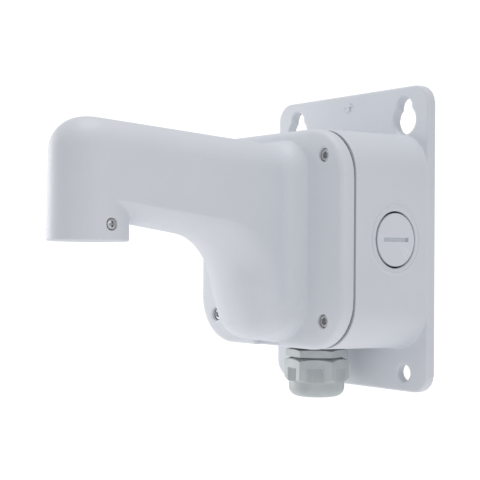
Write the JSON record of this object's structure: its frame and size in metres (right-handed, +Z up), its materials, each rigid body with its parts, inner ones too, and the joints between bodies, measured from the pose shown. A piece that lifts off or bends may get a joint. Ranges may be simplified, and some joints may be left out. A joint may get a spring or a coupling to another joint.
{
  "type": "camera wall arm",
  "caption": "Wall arm with junction box for a pan-tilt-zoom camera: keyhole wall plate, hollow swan arm, cable gland and coin-slot port plugs.",
  "frame": {"origin": "centre of the wall plate's back face, on the wall", "axes": "+Z up, -Y out from the wall along the arm, +X to the right seen from in front of the object"},
  "size_m": [0.1822, 0.2991, 0.2571],
  "materials": {
    "white_powder_coat": "satin",
    "grey_nylon": "matte",
    "stainless_steel": "satin",
    "black_rubber": "matte",
    "tinned_brass": "satin"
  },
  "bodies": {
    "mount": {"arm_screw_1": "stainless_steel", "arm_screw_2": "stainless_steel", "arm_screw_3": "stainless_steel", "arm_screw_4": "stainless_steel", "box_gasket": "black_rubber", "earth_screw": "stainless_steel", "earth_terminal": "tinned_brass", "earth_washer": "stainless_steel", "gland_body": "grey_nylon", "gland_lock_nut": "grey_nylon", "gland_port_seal": "black_rubber", "gland_seal_bush": "black_rubber", "junction_box_housing": "white_powder_coat", "lanyard_hook": "stainless_steel", "lanyard_screw": "stainless_steel", "spring_washer_1": "stainless_steel", "spring_washer_2": "stainless_steel", "spring_washer_3": "stainless_steel", "spring_washer_4": "stainless_steel", "wall_arm": "white_powder_coat"},
    "right_seal": {"port_seal_right": "black_rubber"},
    "right_plug": {"port_plug_right": "white_powder_coat"},
    "left_seal": {"port_seal_left": "black_rubber"},
    "left_plug": {"port_plug_left": "white_powder_coat"},
    "lock_washer": {"lock_screw_washer": "stainless_steel"},
    "lock_screw": {"lock_screw": "stainless_steel"},
    "gland_ring": {"gland_clamp_ring": "grey_nylon"},
    "gland_nut": {"gland_dome_nut": "grey_nylon"}
  },
  "joints": [
    {"name": "right_plug_travel", "type": "slide", "parent": "mount", "child": "right_seal", "axis": [1, 0, 0], "range_m": [0, 0.0045]},
    {"name": "right_plug_turn", "type": "hinge", "parent": "right_seal", "child": "right_plug", "pos_m": [0.0825, -0.044, -0.0019], "axis": [1, 0, 0], "range_deg": [0, 1080]},
    {"name": "left_plug_travel", "type": "slide", "parent": "mount", "child": "left_seal", "axis": [-1, 0, 0], "range_m": [0, 0.0045]},
    {"name": "left_plug_turn", "type": "hinge", "parent": "left_seal", "child": "left_plug", "pos_m": [-0.0825, -0.044, -0.0019], "axis": [-1, 0, 0], "range_deg": [0, 1080]},
    {"name": "lock_screw_travel", "type": "slide", "parent": "mount", "child": "lock_washer", "axis": [1, 0, 0], "range_m": [0, 0.0032]},
    {"name": "lock_screw_turn", "type": "hinge", "parent": "lock_washer", "child": "lock_screw", "pos_m": [0.026, -0.2674, 0.0055], "axis": [1, 0, 0], "range_deg": [0, 1440]},
    {"name": "gland_nut_travel", "type": "slide", "parent": "mount", "child": "gland_ring", "axis": [0, 0, -1], "range_m": [0, 0.0045]},
    {"name": "gland_nut_turn", "type": "hinge", "parent": "gland_ring", "child": "gland_nut", "pos_m": [0, -0.044, -0.115], "axis": [0, 0, -1], "range_deg": [0, 1080]}
  ],
  "couplings": [
    {"joint": "right_plug_turn", "follows": "right_plug_travel", "rad_per_m": 4188.8},
    {"joint": "left_plug_turn", "follows": "left_plug_travel", "rad_per_m": 4188.8},
    {"joint": "lock_screw_turn", "follows": "lock_screw_travel", "rad_per_m": 7854},
    {"joint": "gland_nut_turn", "follows": "gland_nut_travel", "rad_per_m": 4188.8}
  ]
}
